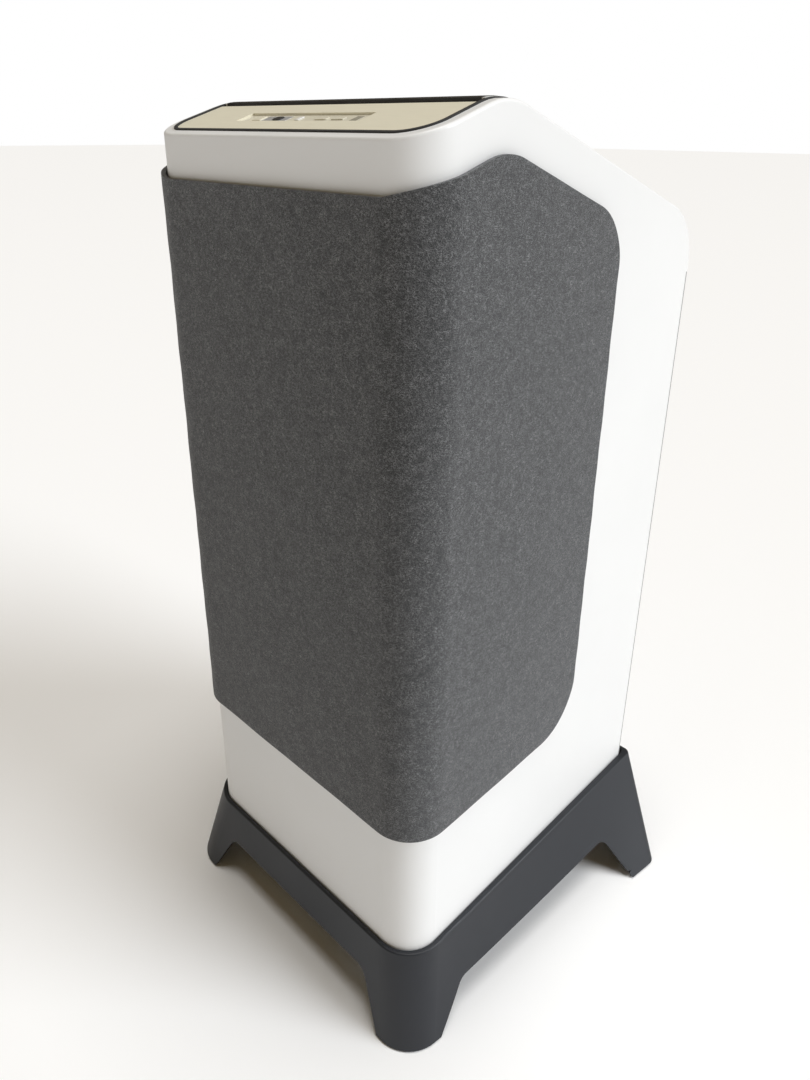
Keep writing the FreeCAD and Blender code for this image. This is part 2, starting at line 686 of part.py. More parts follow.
def make_motor_bracket():
    """Channel across the casing that carries the motor."""
    beam = box(-HALF + 3, HALF - 3, FAN_Y - 45, FAN_Y + 45, MOTOR_HIGH, MOTOR_HIGH + 3)
    lip = box(-HALF + 3, HALF - 3, FAN_Y + 42, FAN_Y + 45, MOTOR_HIGH, MOTOR_HIGH + 25)
    twin = box(-HALF + 3, HALF - 3, FAN_Y - 45, FAN_Y - 42, MOTOR_HIGH, MOTOR_HIGH + 25)
    beam = beam.fuse([lip, twin])
    for x, y in motor_screw_places():
        beam = beam.cut(rod(2.55, (x, y, MOTOR_HIGH - 1), (x, y, MOTOR_HIGH + 4)))
    return beam


def motor_screw_places():
    """Screw centres round the motor's axis."""
    return [(x, FAN_Y + y) for x in (-25, 25) for y in (-25, 25)]


def make_motor_screws():
    """Screws down through the bracket into the motor."""
    screws = []
    for x, y in motor_screw_places():
        head = rod(4.5, (x, y, MOTOR_HIGH + 3), (x, y, MOTOR_HIGH + 6))
        shank = rod(2.5, (x, y, MOTOR_HIGH), (x, y, MOTOR_HIGH + 3))
        screws.append(head.fuse(shank))
    return group(screws)


def make_outlet_duct():
    """Duct from the fan space up to the outlet grille."""
    low = MOTOR_HIGH + 40
    outer = box(-GRILLE_HALF, GRILLE_HALF, GRILLE_FRONT + 1, GRILLE_REAR, low, 1400)
    inner = box(-GRILLE_HALF + 2, GRILLE_HALF - 2, GRILLE_FRONT + 3, GRILLE_REAR - 2, low - 1, 1401)
    return outer.cut(inner).common(body_block(9.3, BODY_BOTTOM))


def make_filter_bay():
    """Open-ended box that the filters slide into."""
    low, high = FILTER_Z
    outer = box(-FILTER_HALF - 3, FILTER_HALF + 3, 60, 290, low - 3, high + 3)
    inner = box(-FILTER_HALF, FILTER_HALF, 59, 291, low, high)
    stop = box(-FILTER_HALF, FILTER_HALF, 60, 63, low, high)
    stop = stop.cut(box(-FILTER_HALF + 15, FILTER_HALF - 15, 59, 64, low + 15, high - 15))
    return outer.cut(inner).fuse(stop)


def filter_frame(front, rear, border):
    """Rectangular frame of one filter cassette."""
    low, high = FILTER_Z
    gap = 0.6
    outer = box(-FILTER_HALF + gap, FILTER_HALF - gap, front, rear, low + gap, high - gap)
    hole = box(-FILTER_HALF + border, FILTER_HALF - border, front - 1, rear + 1,
               low + border, high - border)
    return outer.cut(hole)


def make_hepa_frame():
    """Frame round the pleated filter."""
    return filter_frame(68, 190, 14)


def make_hepa_media():
    """Pleated pack, folded to and fro across the frame."""
    low, high = FILTER_Z
    border, paper, pleats = 14.3, 3.0, 24
    pitch = 2 * (FILTER_HALF - border) / pleats
    front_edge, rear_edge = [], []
    for i in range(pleats + 1):
        x = -FILTER_HALF + border + i * pitch
        y = 78 if i % 2 else 176
        front_edge.append(Vector(x, y, low + border))
        rear_edge.append(Vector(x, y + paper * 2, low + border))
    loop = front_edge + rear_edge[::-1]
    face = Part.Face(Part.makePolygon(loop + loop[:1]))
    return face.extrude(Vector(0, 0, high - low - 2 * border))


def make_filter_seal():
    """Gasket between the stop and the pleated filter."""
    low, high = FILTER_Z
    ring = box(-FILTER_HALF + 2, FILTER_HALF - 2, 63, 68, low + 2, high - 2)
    return ring.cut(box(-FILTER_HALF + 13, FILTER_HALF - 13, 62, 69, low + 13, high - 13))


def make_carbon_filter():
    """Frame filled with a slab of carbon granules."""
    low, high = FILTER_Z
    frame = filter_frame(195, 240, 12)
    core = box(-FILTER_HALF + 12, FILTER_HALF - 12, 200, 235, low + 12, high - 12)
    return frame.fuse(core)


def make_prefilter():
    """Coarse screen in a thin frame with crossing bars."""
    low, high = FILTER_Z
    frame = filter_frame(245, 262, 12)
    bars = []
    for i in range(1, 12):
        x = -FILTER_HALF + i * 2 * FILTER_HALF / 12
        bars.append(box(x - 1.5, x + 1.5, 252, 255, low + 11, high - 11))
    for i in range(1, 15):
        z = low + i * (high - low) / 15
        bars.append(box(-FILTER_HALF + 11, FILTER_HALF - 11, 252, 255, z - 1.5, z + 1.5))
    return frame.fuse(bars)


def make_foam_lining():
    """Sound-absorbing slabs on both side walls of the fan chamber."""
    slab = box(HALF - 30, HALF - SHEET - 0.5, -230, 170, BULKHEAD_Z + 3, MOTOR_HIGH - 10)
    return group([slab, mirrored(slab)])


def make_power_supply():
    """Ventilated box on four feet."""
    base = BODY_BOTTOM + 8
    case = box(40, 170, 40, 230, base, base + 50)
    case = case.cut(box(43, 167, 43, 227, base + 3, base + 47))
    slots = []
    for i in range(10):
        y = 60 + 16 * i
        slots.append(box(39, 171, y, y + 6, base + 22, base + 42))
    feet = []
    for x in (50, 160):
        for y in (50, 220):
            feet.append(Part.makeCylinder(4, 5, Vector(x, y, BODY_BOTTOM + 3)))
    return case.cut(group(slots)).fuse(feet)


def make_air_sensor():
    """Dust and gas sensor behind the rear frame."""
    case = box(-30, 30, 272, 292, 160, 190)
    inlet = [box(-20 + 10 * i, -15 + 10 * i, 285, 293, 166, 184) for i in range(5)]
    return case.cut(group(inlet))


def make_mains_inlet():
    """Three-pin appliance inlet set in the rear frame."""
    flange = box(132, 168, FRAME_BACK, FRAME_BACK + 2.5, 166, 194)
    barrel = box(136.2, 163.8, FRAME_BACK - 24, FRAME_BACK, 170.2, 189.8)
    socket = box(138, 162, FRAME_BACK - 16, FRAME_BACK + 4, 172.5, 187.5)
    pins = [box(x - 2, x + 2, FRAME_BACK - 17, FRAME_BACK - 1, z - 1, z + 1)
            for x, z in ((143, 178), (150, 182), (157, 178))]
    return flange.fuse(barrel).cut(socket).fuse(pins)


def make_switch_frame():
    """Frame that holds the mains rocker."""
    flange = box(80, 110, FRAME_BACK, FRAME_BACK + 2, 168, 192)
    barrel = box(84.2, 105.8, FRAME_BACK - 18, FRAME_BACK, 172.2, 187.8)
    well = box(85.7, 104.3, FRAME_BACK - 16.5, FRAME_BACK + 5, 173.7, 186.3)
    return flange.fuse(barrel).cut(well)


def make_rocker():
    """Rocker that tilts each way about a pin along X."""
    y, z = ROCKER_AXIS
    face = [(y + 4.5, z - 5.6, 0), (y + 3.2, z, 0), (y + 4.5, z + 5.6, 0),
            (y - 3, z + 3.5, 0), (y - 3, z - 3.5, 0)]
    rocker = prism(outline(face, on_side(86.3)), (17.4, 0, 0))
    rocker.rotate(Vector(0, y, z), Vector(1, 0, 0), ROCKER_TILT)
    return rocker


# ---- rear door ----------------------------------------------------------------------------
def door_face(grow, y, depth):
    """Slab with the door's outline, grown by grow."""
    corners = rectangle(8 - HALF - grow, HALF - 2 + grow,
                        DOOR_BOTTOM - grow, REAR_OPENING_TOP - 4 + grow, 6)
    return prism(outline(corners, on_front(y)), (0, depth, 0))


def make_rear_door():
    """Shallow steel pan with an opening for the intake grille."""
    pan = door_face(0, REAR - DOOR_DEPTH, DOOR_DEPTH)
    pan = pan.cut(door_face(-2, REAR - DOOR_DEPTH - 1, DOOR_DEPTH + 1 - DOOR_SKIN))
    opening = outline(rectangle(-195, 195, 250, 745, 14), on_front(280))
    return pan.cut(prism(opening, (0, 40, 0)))


def make_intake_grille():
    """Slatted grille that fills the door's opening."""
    border = outline(rectangle(-205, 205, 244, 755, 14), on_front(REAR - 5))
    frame = prism(border, (0, 5 - DOOR_SKIN, 0))
    face = outline(rectangle(-194.7, 194.7, 250.3, 744.7, 13.7), on_front(REAR - DOOR_SKIN))
    raised = prism(face, (0, DOOR_SKIN + 0.5, 0))
    slots = []
    for column in range(3):
        x = -186 + column * 126
        for row in range(40):
            z = 261 + row * 12
            slots.append(box(x, x + 120, REAR - 8, REAR + 2, z, z + 6))
    return frame.fuse(raised).cut(group(slots))


def make_door_seal():
    """Soft strip round the inside of the door."""
    outer = outline(rectangle(-221, 221, 234, 1076, 8), on_front(REAR - 9))
    inner = outline(rectangle(-213, 213, 242, 1068, 6), on_front(REAR - 10))
    return prism(outer, (0, 9 - DOOR_SKIN, 0)).cut(prism(inner, (0, 12, 0)))


def make_door_pull():
    """Upright bow handle on two round feet, near the door's free edge."""
    low, high = HANDLE_ROWS
    grip_y = REAR + HANDLE_REACH - HANDLE_RADIUS
    bend = 12.0
    path = Part.Wire([
        Part.makeLine(Vector(HANDLE_X, REAR, low), Vector(HANDLE_X, grip_y - bend, low)),
        quarter_bend(grip_y - bend, low + bend, bend, -1),
        Part.makeLine(Vector(HANDLE_X, grip_y, low + bend), Vector(HANDLE_X, grip_y, high - bend)),
        quarter_bend(grip_y - bend, high - bend, bend, 1),
        Part.makeLine(Vector(HANDLE_X, grip_y - bend, high), Vector(HANDLE_X, REAR, high)),
    ])
    section = Part.Wire(Part.makeCircle(HANDLE_RADIUS, Vector(HANDLE_X, REAR, low), Vector(0, 1, 0)))
    bow = path.makePipeShell([section], True, True)
    feet = [rod(HANDLE_RADIUS + 4, (HANDLE_X, REAR, z), (HANDLE_X, REAR + 2, z)) for z in HANDLE_ROWS]
    return bow.fuse(feet)


def quarter_bend(y, z, radius, up):
    """Quarter circle of the handle's path about (y, z), from level to upright or back."""
    across = radius * math.sin(math.pi / 4)
    level = Vector(HANDLE_X, y, z + up * radius)
    middle = Vector(HANDLE_X, y + across, z + up * across)
    upright = Vector(HANDLE_X, y + radius, z)
    ends = (level, upright) if up < 0 else (upright, level)
    return Part.Arc(ends[0], middle, ends[1]).toShape()


def knuckle(low, high):
    """Barrel of a hinge between two heights."""
    x, y = HINGE_AXIS
    return tube(KNUCKLE_RADIUS, PIN_RADIUS + 0.05, (x, y, low), (x, y, high))


def make_frame_hinges():
    """Hinge leaves on the rear frame, each with two knuckles."""
    x, y = HINGE_AXIS
    leaves = []
    for z in HINGE_ROWS:
        for low in (z - 30, z + 10):
            leaf = box(x - 1.5, x + 1, FRAME_BACK, y, low, low + 20)
            joint = knuckle(low, low + 20).fuse(leaf)
            leaves.append(joint.cut(rod(PIN_RADIUS + 0.05, (x, y, low - 1), (x, y, low + 21))))
    return group(leaves)


def make_door_hinges():
    """Hinge leaves on the door, each with the middle knuckle."""
    x, y = HINGE_AXIS
    leaves = []
    for z in HINGE_ROWS:
        leaf = box(x + 1, x + 28, REAR, REAR + 2, z - 9.7, z + 9.7)
        joint = knuckle(z - 9.7, z + 9.7).fuse(leaf)
        leaves.append(joint.cut(rod(PIN_RADIUS + 0.05, (x, y, z - 11), (x, y, z + 11))))
    return group(leaves)


def make_hinge_pins():
    """One pin through each hinge."""
    x, y = HINGE_AXIS
    return group([rod(PIN_RADIUS, (x, y, z - 32), (x, y, z + 32)) for z in HINGE_ROWS])


def make_door_magnets():
    """Catch magnets on the door's inner face, beside the free edge."""
    return group([box(226, 240, REAR - 3.3, REAR - DOOR_SKIN, z, z + 40) for z in (300, 640, 960)])


# ---- write every node ---------------------------------------------------------------------
NODES = {
    "base_stand": make_stand,
    "foot_pads": make_foot_pads,
    "stand_bolts": make_stand_bolts,
    "outer_casing": make_casing,
    "rear_frame": make_rear_frame,
    "frame_screws": make_frame_screws,
    "chassis_floor": make_chassis_floor,
    "felt_cover": make_felt_cover,
    "felt_spacers": make_felt_spacers,
    "top_panel": make_top_panel,
    "roof_seal": make_roof_seal,
    "panel_carrier": make_carrier,
    "control_tray": make_control_tray,
    "control_board": make_control_board,
    "key_switches": make_key_switches,
    "board_posts": make_board_posts,
    "outlet_grille": make_outlet_grille,
    "outlet_end_caps": make_outlet_end_caps,
    "fan_bulkhead": make_bulkhead,
    "inlet_ring": make_inlet_ring,
    "impeller": make_impeller,
    "fan_shaft": make_fan_shaft,
    "motor": make_motor,
    "motor_bracket": make_motor_bracket,
    "motor_screws": make_motor_screws,
    "outlet_duct": make_outlet_duct,
    "filter_bay": make_filter_bay,
    "filter_seal": make_filter_seal,
    "hepa_frame": make_hepa_frame,
    "hepa_media": make_hepa_media,
    "carbon_filter": make_carbon_filter,
    "prefilter": make_prefilter,
    "foam_lining": make_foam_lining,
    "power_supply": make_power_supply,
    "air_sensor": make_air_sensor,
    "mains_inlet": make_mains_inlet,
    "switch_frame": make_switch_frame,
    "mains_rocker": make_rocker,
    "rear_door": make_rear_door,
    "intake_grille": make_intake_grille,
    "door_seal": make_door_seal,
    "door_pull": make_door_pull,
    "door_magnets": make_door_magnets,
    "frame_hinges": make_frame_hinges,
    "door_hinges": make_door_hinges,
    "hinge_pins": make_hinge_pins,
}
for node, make in NODES.items():
    save(node, make())
for name in WINDOWS:
    save(name, make_window(name))
for key in KEYS:
    save(key[0], make_key(key))
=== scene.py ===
"""Looks of the felt-wrapped office air purifier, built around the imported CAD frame. Metres."""
import json
import math

import bmesh
import bpy
from mathutils import Matrix, Vector


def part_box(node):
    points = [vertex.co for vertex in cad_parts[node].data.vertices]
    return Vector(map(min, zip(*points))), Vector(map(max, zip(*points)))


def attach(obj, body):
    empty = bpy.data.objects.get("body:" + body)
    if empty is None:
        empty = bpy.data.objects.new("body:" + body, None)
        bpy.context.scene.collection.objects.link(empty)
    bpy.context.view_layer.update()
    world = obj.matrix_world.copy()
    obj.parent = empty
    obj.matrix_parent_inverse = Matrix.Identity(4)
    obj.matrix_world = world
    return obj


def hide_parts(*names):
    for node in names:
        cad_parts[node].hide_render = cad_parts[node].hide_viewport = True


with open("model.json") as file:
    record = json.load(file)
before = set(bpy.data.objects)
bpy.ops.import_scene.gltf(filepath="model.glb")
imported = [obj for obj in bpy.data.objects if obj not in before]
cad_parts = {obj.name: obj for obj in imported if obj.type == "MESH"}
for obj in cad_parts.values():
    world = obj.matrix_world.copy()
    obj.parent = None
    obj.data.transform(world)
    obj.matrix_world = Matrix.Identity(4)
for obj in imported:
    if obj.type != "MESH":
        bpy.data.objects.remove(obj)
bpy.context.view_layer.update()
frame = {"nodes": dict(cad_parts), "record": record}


# ---- camera, light and floor -------------------------------------------------------------
CAMERA_PLACE = Vector((0.7933, -0.8890, 1.2951))
CAMERA_RIGHT = Vector((0.7204, 0.6935, 0.0094))
CAMERA_UP = Vector((-0.2692, 0.2672, 0.9253))
CAMERA_BACK = Vector((0.6392, -0.6691, 0.3792))
CAMERA_LENS = 26.47
CAMERA_SHIFT_X = -0.001
CAMERA_SHIFT_Y = -0.0787


def add_camera():
    data = bpy.data.cameras.new("camera")
    data.sensor_width = 36
    data.lens = CAMERA_LENS
    data.shift_x = CAMERA_SHIFT_X
    data.shift_y = CAMERA_SHIFT_Y
    camera = bpy.data.objects.new("camera", data)
    turn = Matrix((CAMERA_RIGHT, CAMERA_UP, CAMERA_BACK)).transposed()
    camera.matrix_world = Matrix.Translation(CAMERA_PLACE) @ turn.to_4x4()
    bpy.context.collection.objects.link(camera)
    bpy.context.scene.camera = camera


def add_sun(name, source, strength, softness, colour):
    """Broad soft light from a direction, the same over the whole floor."""
    data = bpy.data.lights.new(name, "SUN")
    data.energy = strength
    data.angle = math.radians(softness)
    data.color = colour
    light = bpy.data.objects.new(name, data)
    light.rotation_euler = (-Vector(source)).to_track_quat("-Z", "Y").to_euler()
    bpy.context.collection.objects.link(light)


def add_world():
    """White backdrop for the camera, softer warm light for everything else."""
    world = bpy.data.worlds.new("studio")
    bpy.context.scene.world = world
    world.use_nodes = True
    nodes, links = world.node_tree.nodes, world.node_tree.links
    nodes.clear()
    output = nodes.new("ShaderNodeOutputWorld")
    mix = nodes.new("ShaderNodeMixShader")
    path = nodes.new("ShaderNodeLightPath")
    fill = nodes.new("ShaderNodeBackground")
    backdrop = nodes.new("ShaderNodeBackground")
    fill.inputs["Color"].default_value = (1.0, 0.76, 0.40, 1)
    fill.inputs["Strength"].default_value = 0.14
    backdrop.inputs["Color"].default_value = (1, 1, 1, 1)
    backdrop.inputs["Strength"].default_value = 1.0
    links.new(path.outputs["Is Camera Ray"], mix.inputs["Fac"])
    links.new(fill.outputs[0], mix.inputs[1])
    links.new(backdrop.outputs[0], mix.inputs[2])
    links.new(mix.outputs[0], output.inputs["Surface"])


def add_studio():
    add_world()
    add_sun("key", (3.0, 1.4, 2.0), 2.35, 32, (0.92, 0.96, 1.0))
    add_sun("top", (0.3, 0.2, 4.0), 1.65, 30, (1.0, 0.99, 0.97))
    bpy.context.scene.view_settings.view_transform = "Standard"
    mesh = bpy.data.meshes.new("floor")
    reach = 60.0
    mesh.from_pydata([(-reach, -reach, 0), (reach, -reach, 0), (reach, reach, 0), (-reach, reach, 0)],
                     [], [(0, 1, 2, 3)])
    floor = bpy.data.objects.new("floor", mesh)
    bpy.context.collection.objects.link(floor)
    floor_look = Look("floor_pale")
    floor_look.shader["Base Color"].default_value = (0.955, 0.96, 0.975, 1)
    floor_look.shader["Specular IOR Level"].default_value = 0.1
    floor_look.shader["Roughness"].default_value = 0.7
    mesh.materials.append(floor_look.material)


# ---- materials ---------------------------------------------------------------------------
class Look:
    """A material being built: its nodes, links and shader sockets."""

    def __init__(self, name):
        self.material = bpy.data.materials.new(name)
        self.material.use_nodes = True
        self.nodes = self.material.node_tree.nodes
        self.links = self.material.node_tree.links
        principled = self.nodes["Principled BSDF"]
        self.shader = principled.inputs
        self.place = self.nodes.new("ShaderNodeTexCoord").outputs["Object"]

    def stretched(self, turn, length):
        """Object coordinates, turned and then drawn out along each axis."""
        mapping = self.nodes.new("ShaderNodeMapping")
        mapping.vector_type = "TEXTURE"
        mapping.inputs["Rotation"].default_value = turn
        mapping.inputs["Scale"].default_value = length
        self.links.new(self.place, mapping.inputs["Vector"])
        return mapping.outputs["Vector"]

    def noise(self, scale, detail=2.0, vector=None, roughness=0.5):
        node = self.nodes.new("ShaderNodeTexNoise")
        node.inputs["Scale"].default_value = scale
        node.inputs["Detail"].default_value = detail
        node.inputs["Roughness"].default_value = roughness
        self.links.new(vector or self.place, node.inputs["Vector"])
        return node.outputs["Fac"]

    def cells(self, scale, feature="F1"):
        node = self.nodes.new("ShaderNodeTexVoronoi")
        node.feature = feature
        node.inputs["Scale"].default_value = scale
        self.links.new(self.place, node.inputs["Vector"])
        return node.outputs["Distance"]

    def ramp(self, value, low, high, dark=(0, 0, 0), light=(1, 1, 1)):
        node = self.nodes.new("ShaderNodeValToRGB")
        node.color_ramp.elements[0].position = low
        node.color_ramp.elements[0].color = (*dark, 1)
        node.color_ramp.elements[1].position = high
        node.color_ramp.elements[1].color = (*light, 1)
        self.links.new(value, node.inputs["Fac"])
        return node.outputs["Color"]

    def math(self, operation, first, second):
        node = self.nodes.new("ShaderNodeMath")
        node.operation = operation
        for socket, value in zip(node.inputs, (first, second)):
            if isinstance(value, (int, float)):
                socket.default_value = value
            else:
                self.links.new(value, socket)
        return node.outputs[0]

    def mix(self, factor, first, second):
        node = self.nodes.new("ShaderNodeMix")
        node.data_type = "RGBA"
        for socket, value in zip((node.inputs["Factor"], node.inputs["A"], node.inputs["B"]),
                                 (factor, first, second)):
            self.set(socket, value)
        return node.outputs["Result"]

    def set(self, socket, value):
        """Feed a node's output into a socket."""
        self.links.new(value, socket)

    def bump(self, height, distance, strength=1.0):
        node = self.nodes.new("ShaderNodeBump")
        node.inputs["Distance"].default_value = distance
        node.inputs["Strength"].default_value = strength
        self.links.new(height, node.inputs["Height"])
        self.links.new(node.outputs["Normal"], self.shader["Normal"])

    def worn(self, colour, contrast, scale):
        """The colour with soft cloudy variation."""
        darker = tuple(c * (1 - contrast) for c in colour)
        lighter = tuple(min(1.0, c * (1 + contrast)) for c in colour)
        self.set(self.shader["Base Color"], self.ramp(self.noise(scale, 4), 0.3, 0.7, darker, lighter))

    def roughness_range(self, low, high, scale):
        self.set(self.shader["Roughness"], self.ramp(self.noise(scale, 3), 0.3, 0.7, (low,) * 3, (high,) * 3))


def powder_coat(name, colour, low, high, grain=0.00003, shine=0.5):
    """Satin powder coat with orange peel."""
    look = Look(name)
    look.shader["Specular IOR Level"].default_value = shine
    look.worn(colour, 0.02, 3)
    look.roughness_range(low, high, 9)
    look.shader["Coat Weight"].default_value = 0.08
    look.shader["Coat Roughness"].default_value = 0.35
    peel = look.math("ADD", look.noise(700, 2), look.math("MULTIPLY", look.noise(2600, 1), 0.4))
    look.bump(peel, grain, 0.5)
    return look.material


# directions the felt's fibre layers lie in, as turns about x, y and z
FIBRE_TURNS = ((1.57, 0.3, 0.1), (1.2, 0.9, 0.7), (0.2, 1.2, 0.4),
               (0.7, 2.2, 1.7), (2.6, 0.8, 2.4), (1.4, 1.9, 1.1))


def felt(name):
    """Melange felt board: dark ground with short light fibres lying every way."""
    look = Look(name)
    fibres = None
    for i, turn in enumerate(FIBRE_TURNS):
        vector = look.stretched(turn, (1.0, 1.0, 4.5))
        streak = look.ramp(look.noise(760 + 90 * i, 1.0, vector), 0.56, 0.76)
        fibres = streak if fibres is None else look.math("MAXIMUM", fibres, streak)
    blotch = look.ramp(look.noise(70, 4, None, 0.6), 0.3, 0.7, (0.45,) * 3, (1.0,) * 3)
    amount = look.math("MULTIPLY", fibres, blotch)
    ground = look.ramp(look.noise(9, 2), 0.3, 0.7, (0.020, 0.020, 0.0205), (0.027, 0.027, 0.028))
    light = look.ramp(look.noise(240, 2), 0.35, 0.65, (0.15, 0.152, 0.157), (0.30, 0.305, 0.315))
    colour = look.mix(amount, ground, light)
    look.set(look.shader["Base Color"], colour)
    look.shader["Roughness"].default_value = 0.95
    look.shader["Specular IOR Level"].default_value = 0.12
    look.shader["Sheen Weight"].default_value = 0.3
    look.shader["Sheen Roughness"].default_value = 0.6
    look.shader["Sheen Tint"].default_value = (0.88, 0.91, 0.96, 1)
    height = look.math("ADD", amount, look.math("MULTIPLY", look.noise(1500, 2), 0.8))
    look.bump(height, 0.0003, 0.7)
    return look.material


def satin_metal(name, colour, metallic, low, high, streak=(40.0, 1.0, 1.0)):
    """Anodised or brushed metal with a faint drawn grain."""
    look = Look(name)
    grain = look.noise(1400, 3, look.stretched((0, 0, 0), streak))
    darker = tuple(c * 0.94 for c in colour)
    look.set(look.shader["Base Color"], look.ramp(grain, 0.3, 0.7, darker, colour))
    look.set(look.shader["Roughness"], look.ramp(grain, 0.3, 0.7, (low,) * 3, (high,) * 3))
    look.shader["Metallic"].default_value = metallic
    look.bump(grain, 0.00001, 0.4)
    return look.material


def plastic(name, colour, low, high, texture=0.00004, scale=1200):
    """Moulded plastic with a fine spark texture."""
    look = Look(name)
    look.worn(colour, 0.06, 14)
    look.roughness_range(low, high, 30)
    look.bump(look.noise(scale, 2), texture, 0.6)
    return look.material


def glossy_window(name, colour):
    look = Look(name)
    look.worn(colour, 0.12, 60)
    look.roughness_range(0.05, 0.12, 40)
    look.shader["Coat Weight"].default_value = 0.6
    look.bump(look.noise(90, 1), 0.00002, 0.3)
    return look.material


def cellular(name, dark, light, scale, depth):
    """Open cells or granules."""
    look = Look(name)
    cell = look.cells(scale)
    look.set(look.shader["Base Color"], look.ramp(cell, 0.1, 0.7, dark, light))
    look.roughness_range(0.85, 1.0, 60)
    look.bump(cell, depth, 1.0)
    return look.material


def circuit_board(name):
    """Solder mask with pale tracks."""
    look = Look(name)
    edges = look.cells(260, "DISTANCE_TO_EDGE")
    look.set(look.shader["Base Color"], look.ramp(edges, 0.04, 0.07, (0.08, 0.32, 0.16), (0.01, 0.11, 0.05)))
    look.roughness_range(0.25, 0.4, 200)
    look.bump(edges, 0.00003, 0.5)
    return look.material


def filter_paper(name):
    look = Look(name)
    look.worn((0.80, 0.80, 0.77), 0.05, 40)
    look.roughness_range(0.85, 0.98, 90)
    look.bump(look.noise(2400, 3), 0.00008, 0.7)
    return look.material


LOOKS = {
    "casing_paint": powder_coat("white_powder_coat", (0.84, 0.845, 0.85), 0.36, 0.44),
    "frame_paint": powder_coat("grey_powder_coat", (0.33, 0.335, 0.34), 0.4, 0.5),
    "stand_paint": powder_coat("anthracite_coat", (0.018, 0.0205, 0.0265), 0.42, 0.52, 0.00006, 0.36),
    "rubber": plastic("black_rubber", (0.025, 0.025, 0.026), 0.7, 0.85, 0.00008, 500),
    "steel": satin_metal("zinc_steel", (0.56, 0.57, 0.58), 1.0, 0.3, 0.45),
    "felt": felt("melange_felt"),
    "panel_metal": satin_metal("champagne_panel", (0.86, 0.82, 0.67), 0.1, 0.42, 0.5),
    "key_film": plastic("printed_film", (0.70, 0.665, 0.55), 0.35, 0.45, 0.00002, 1500),
    "dark_plastic": plastic("black_plastic", (0.028, 0.028, 0.030), 0.42, 0.55),
    "white_plastic": plastic("white_plastic", (0.82, 0.82, 0.80), 0.28, 0.36),
    "cream_plastic": plastic("cream_plastic", (0.84, 0.80, 0.66), 0.25, 0.34),
    "display_glass": glossy_window("display_window", (0.52, 0.54, 0.58)),
    "board": circuit_board("circuit_board"),
    "motor_case": satin_metal("motor_die_cast", (0.42, 0.43, 0.44), 0.9, 0.42, 0.55, (3, 3, 3)),
    "filter_card": plastic("filter_frame", (0.70, 0.70, 0.68), 0.55, 0.7, 0.00006, 800),
    "filter_paper": filter_paper("filter_paper"),
    "carbon": cellular("carbon_granules", (0.012, 0.012, 0.012), (0.06, 0.06, 0.06), 420, 0.0006),
    "foam": cellular("acoustic_foam", (0.02, 0.02, 0.022), (0.09, 0.09, 0.095), 600, 0.0005),
}


SENSOR_FILM = plastic("sensor_film", (0.36, 0.345, 0.29), 0.2, 0.3, 0.00002, 1500)


def dress_frame():
    """Give every CAD node the look of its material slot, and the light sensor its pale film."""
    for part in frame["record"]["subparts"]:
        look = SENSOR_FILM if part["node"] == "light_sensor" else LOOKS[part["material_slot"]]
        mesh = frame["nodes"][part["node"]].data
        mesh.materials.clear()
        mesh.materials.append(look)


# ---- felt cover --------------------------------------------------------------------------
FELT_THICKNESS = 0.006
FELT_OUTER_RADIUS = 0.065
FELT_FRONT_TOP = 1.2325
FELT_SLOPE = 0.333
FELT_PEAK = (-0.176, 1.277)
FELT_REAR_TOP = 1.190
FELT_PEAK_RADIUS = 0.085
FELT_CORNER_RADIUS = 0.088
KINK_PAST_BEND = 0.008
COLUMN_STEP = 0.005
ROWS = 150


def rounded_height(v, corners):
    """Height at v of a line through (v, height, radius) corners, each rounded by an arc."""
    for (v0, h0, _), (v1, h1, radius), (v2, h2, _) in zip(corners, corners[1:], corners[2:]):
        before = math.atan2(h1 - h0, v1 - v0)
        after = math.atan2(h2 - h1, v2 - v1)
        reach = radius * math.tan((before - after) / 2)
        start, end = v1 - reach * math.cos(before), v1 + reach * math.cos(after)
        if start < v < end:
            centre_v = start + radius * math.sin(before)
            centre_h = h1 - reach * math.sin(before) - radius * math.cos(before)
            return centre_h + math.sqrt(radius ** 2 - (v - centre_v) ** 2)
    for (v0, h0, _), (v1, h1, _) in zip(corners, corners[1:]):
        if v <= v1:
            return h0 + (h1 - h0) * (v - v0) / (v1 - v0)
    return corners[-1][1]


